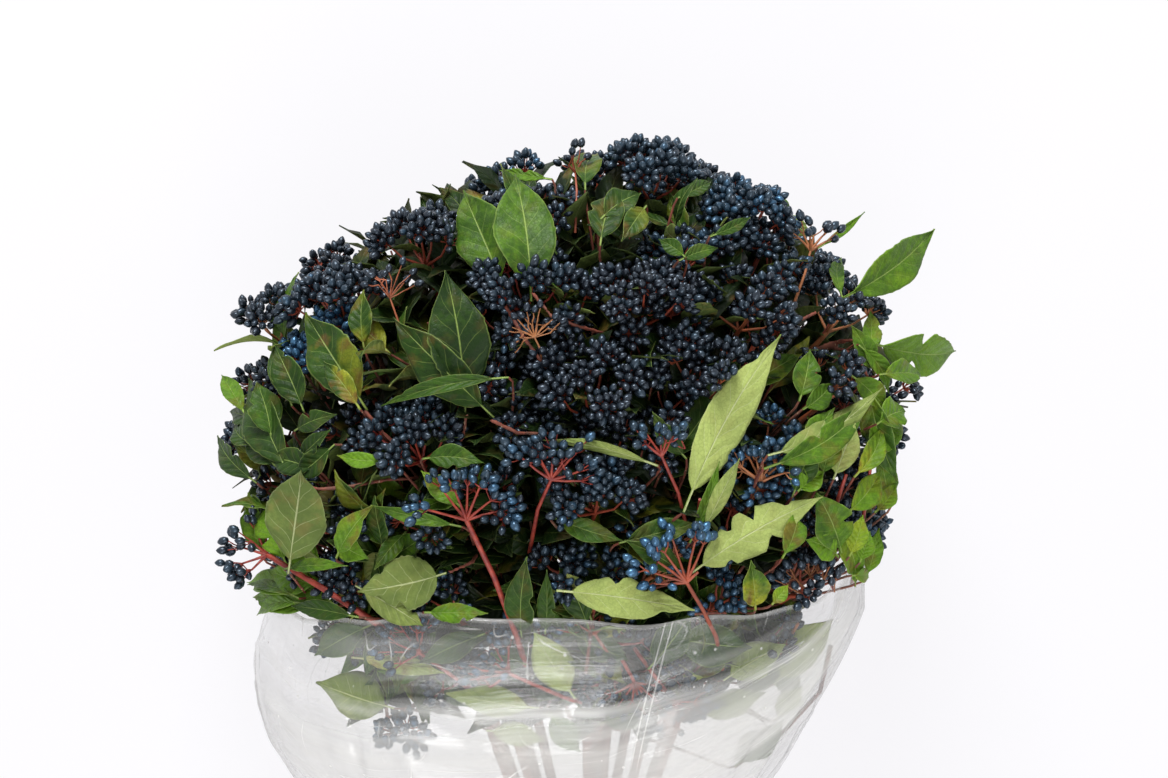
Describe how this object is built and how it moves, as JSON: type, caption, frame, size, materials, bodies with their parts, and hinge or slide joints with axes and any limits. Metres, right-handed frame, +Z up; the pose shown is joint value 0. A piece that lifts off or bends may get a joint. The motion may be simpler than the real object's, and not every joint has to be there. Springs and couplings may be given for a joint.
{
  "type": "viburnum berry bunch",
  "caption": "Bunch of laurustinus stems with dark blue berry clusters and evergreen leaves, tied at the cut ends, in a clear film sleeve, lying on its side.",
  "frame": {"origin": "under the middle of the bunch's box, on the surface that the bunch lies on", "axes": "+Y along the bunch from its cut stem ends to the top of its head of berries, +Z up from the surface, +X to the right as seen from above with the head at the top"},
  "size_m": [0.458, 0.5908, 0.271],
  "materials": {
    "bark": "red-brown young bark, matt, with pale corky spots",
    "berry": "firm blue-black berry skin with a faint waxy bloom and soft highlights",
    "leaf": "leathery evergreen leaf, satin above, paler and matt beneath, with a pale midrib",
    "film": "thin clear glossy polypropylene film, creased, with small round vent holes",
    "rubber": "plain matt natural rubber"
  },
  "bodies": {
    "root": {"sleeve": "film", "rubber_band": "rubber", "stem_01": "bark", "stem_02": "bark", "stem_03": "bark", "stem_04": "bark", "stem_05": "bark", "stem_06": "bark", "stem_07": "bark", "stem_08": "bark", "stem_09": "bark", "stem_10": "bark", "stem_11": "bark", "stem_12": "bark", "berry_cluster_01": "berry", "berry_cluster_02": "berry", "berry_cluster_03": "berry", "berry_cluster_04": "berry", "berry_cluster_05": "berry", "berry_cluster_06": "berry", "berry_cluster_07": "berry", "berry_cluster_08": "berry", "berry_cluster_09": "berry", "berry_cluster_10": "berry", "berry_cluster_11": "berry", "berry_cluster_12": "berry", "berry_cluster_13": "berry", "berry_cluster_14": "berry", "berry_cluster_15": "berry", "berry_cluster_16": "berry", "berry_cluster_17": "berry", "berry_cluster_18": "berry", "berry_cluster_19": "berry", "berry_cluster_20": "berry", "berry_cluster_21": "berry", "berry_cluster_22": "berry", "berry_cluster_23": "berry", "berry_cluster_24": "berry", "berry_cluster_25": "berry", "berry_cluster_26": "berry", "berry_cluster_27": "berry", "berry_cluster_28": "berry", "berry_cluster_29": "berry", "berry_cluster_30": "berry", "berry_cluster_31": "berry", "berry_cluster_32": "berry", "leaf_01": "leaf", "leaf_02": "leaf", "leaf_03": "leaf", "leaf_04": "leaf", "leaf_05": "leaf", "leaf_06": "leaf", "leaf_07": "leaf", "leaf_08": "leaf", "leaf_09": "leaf", "leaf_10": "leaf", "turned_leaf_11": "leaf", "turned_leaf_12": "leaf", "turned_leaf_13": "leaf", "turned_leaf_14": "leaf"}
  },
  "joints": []
}
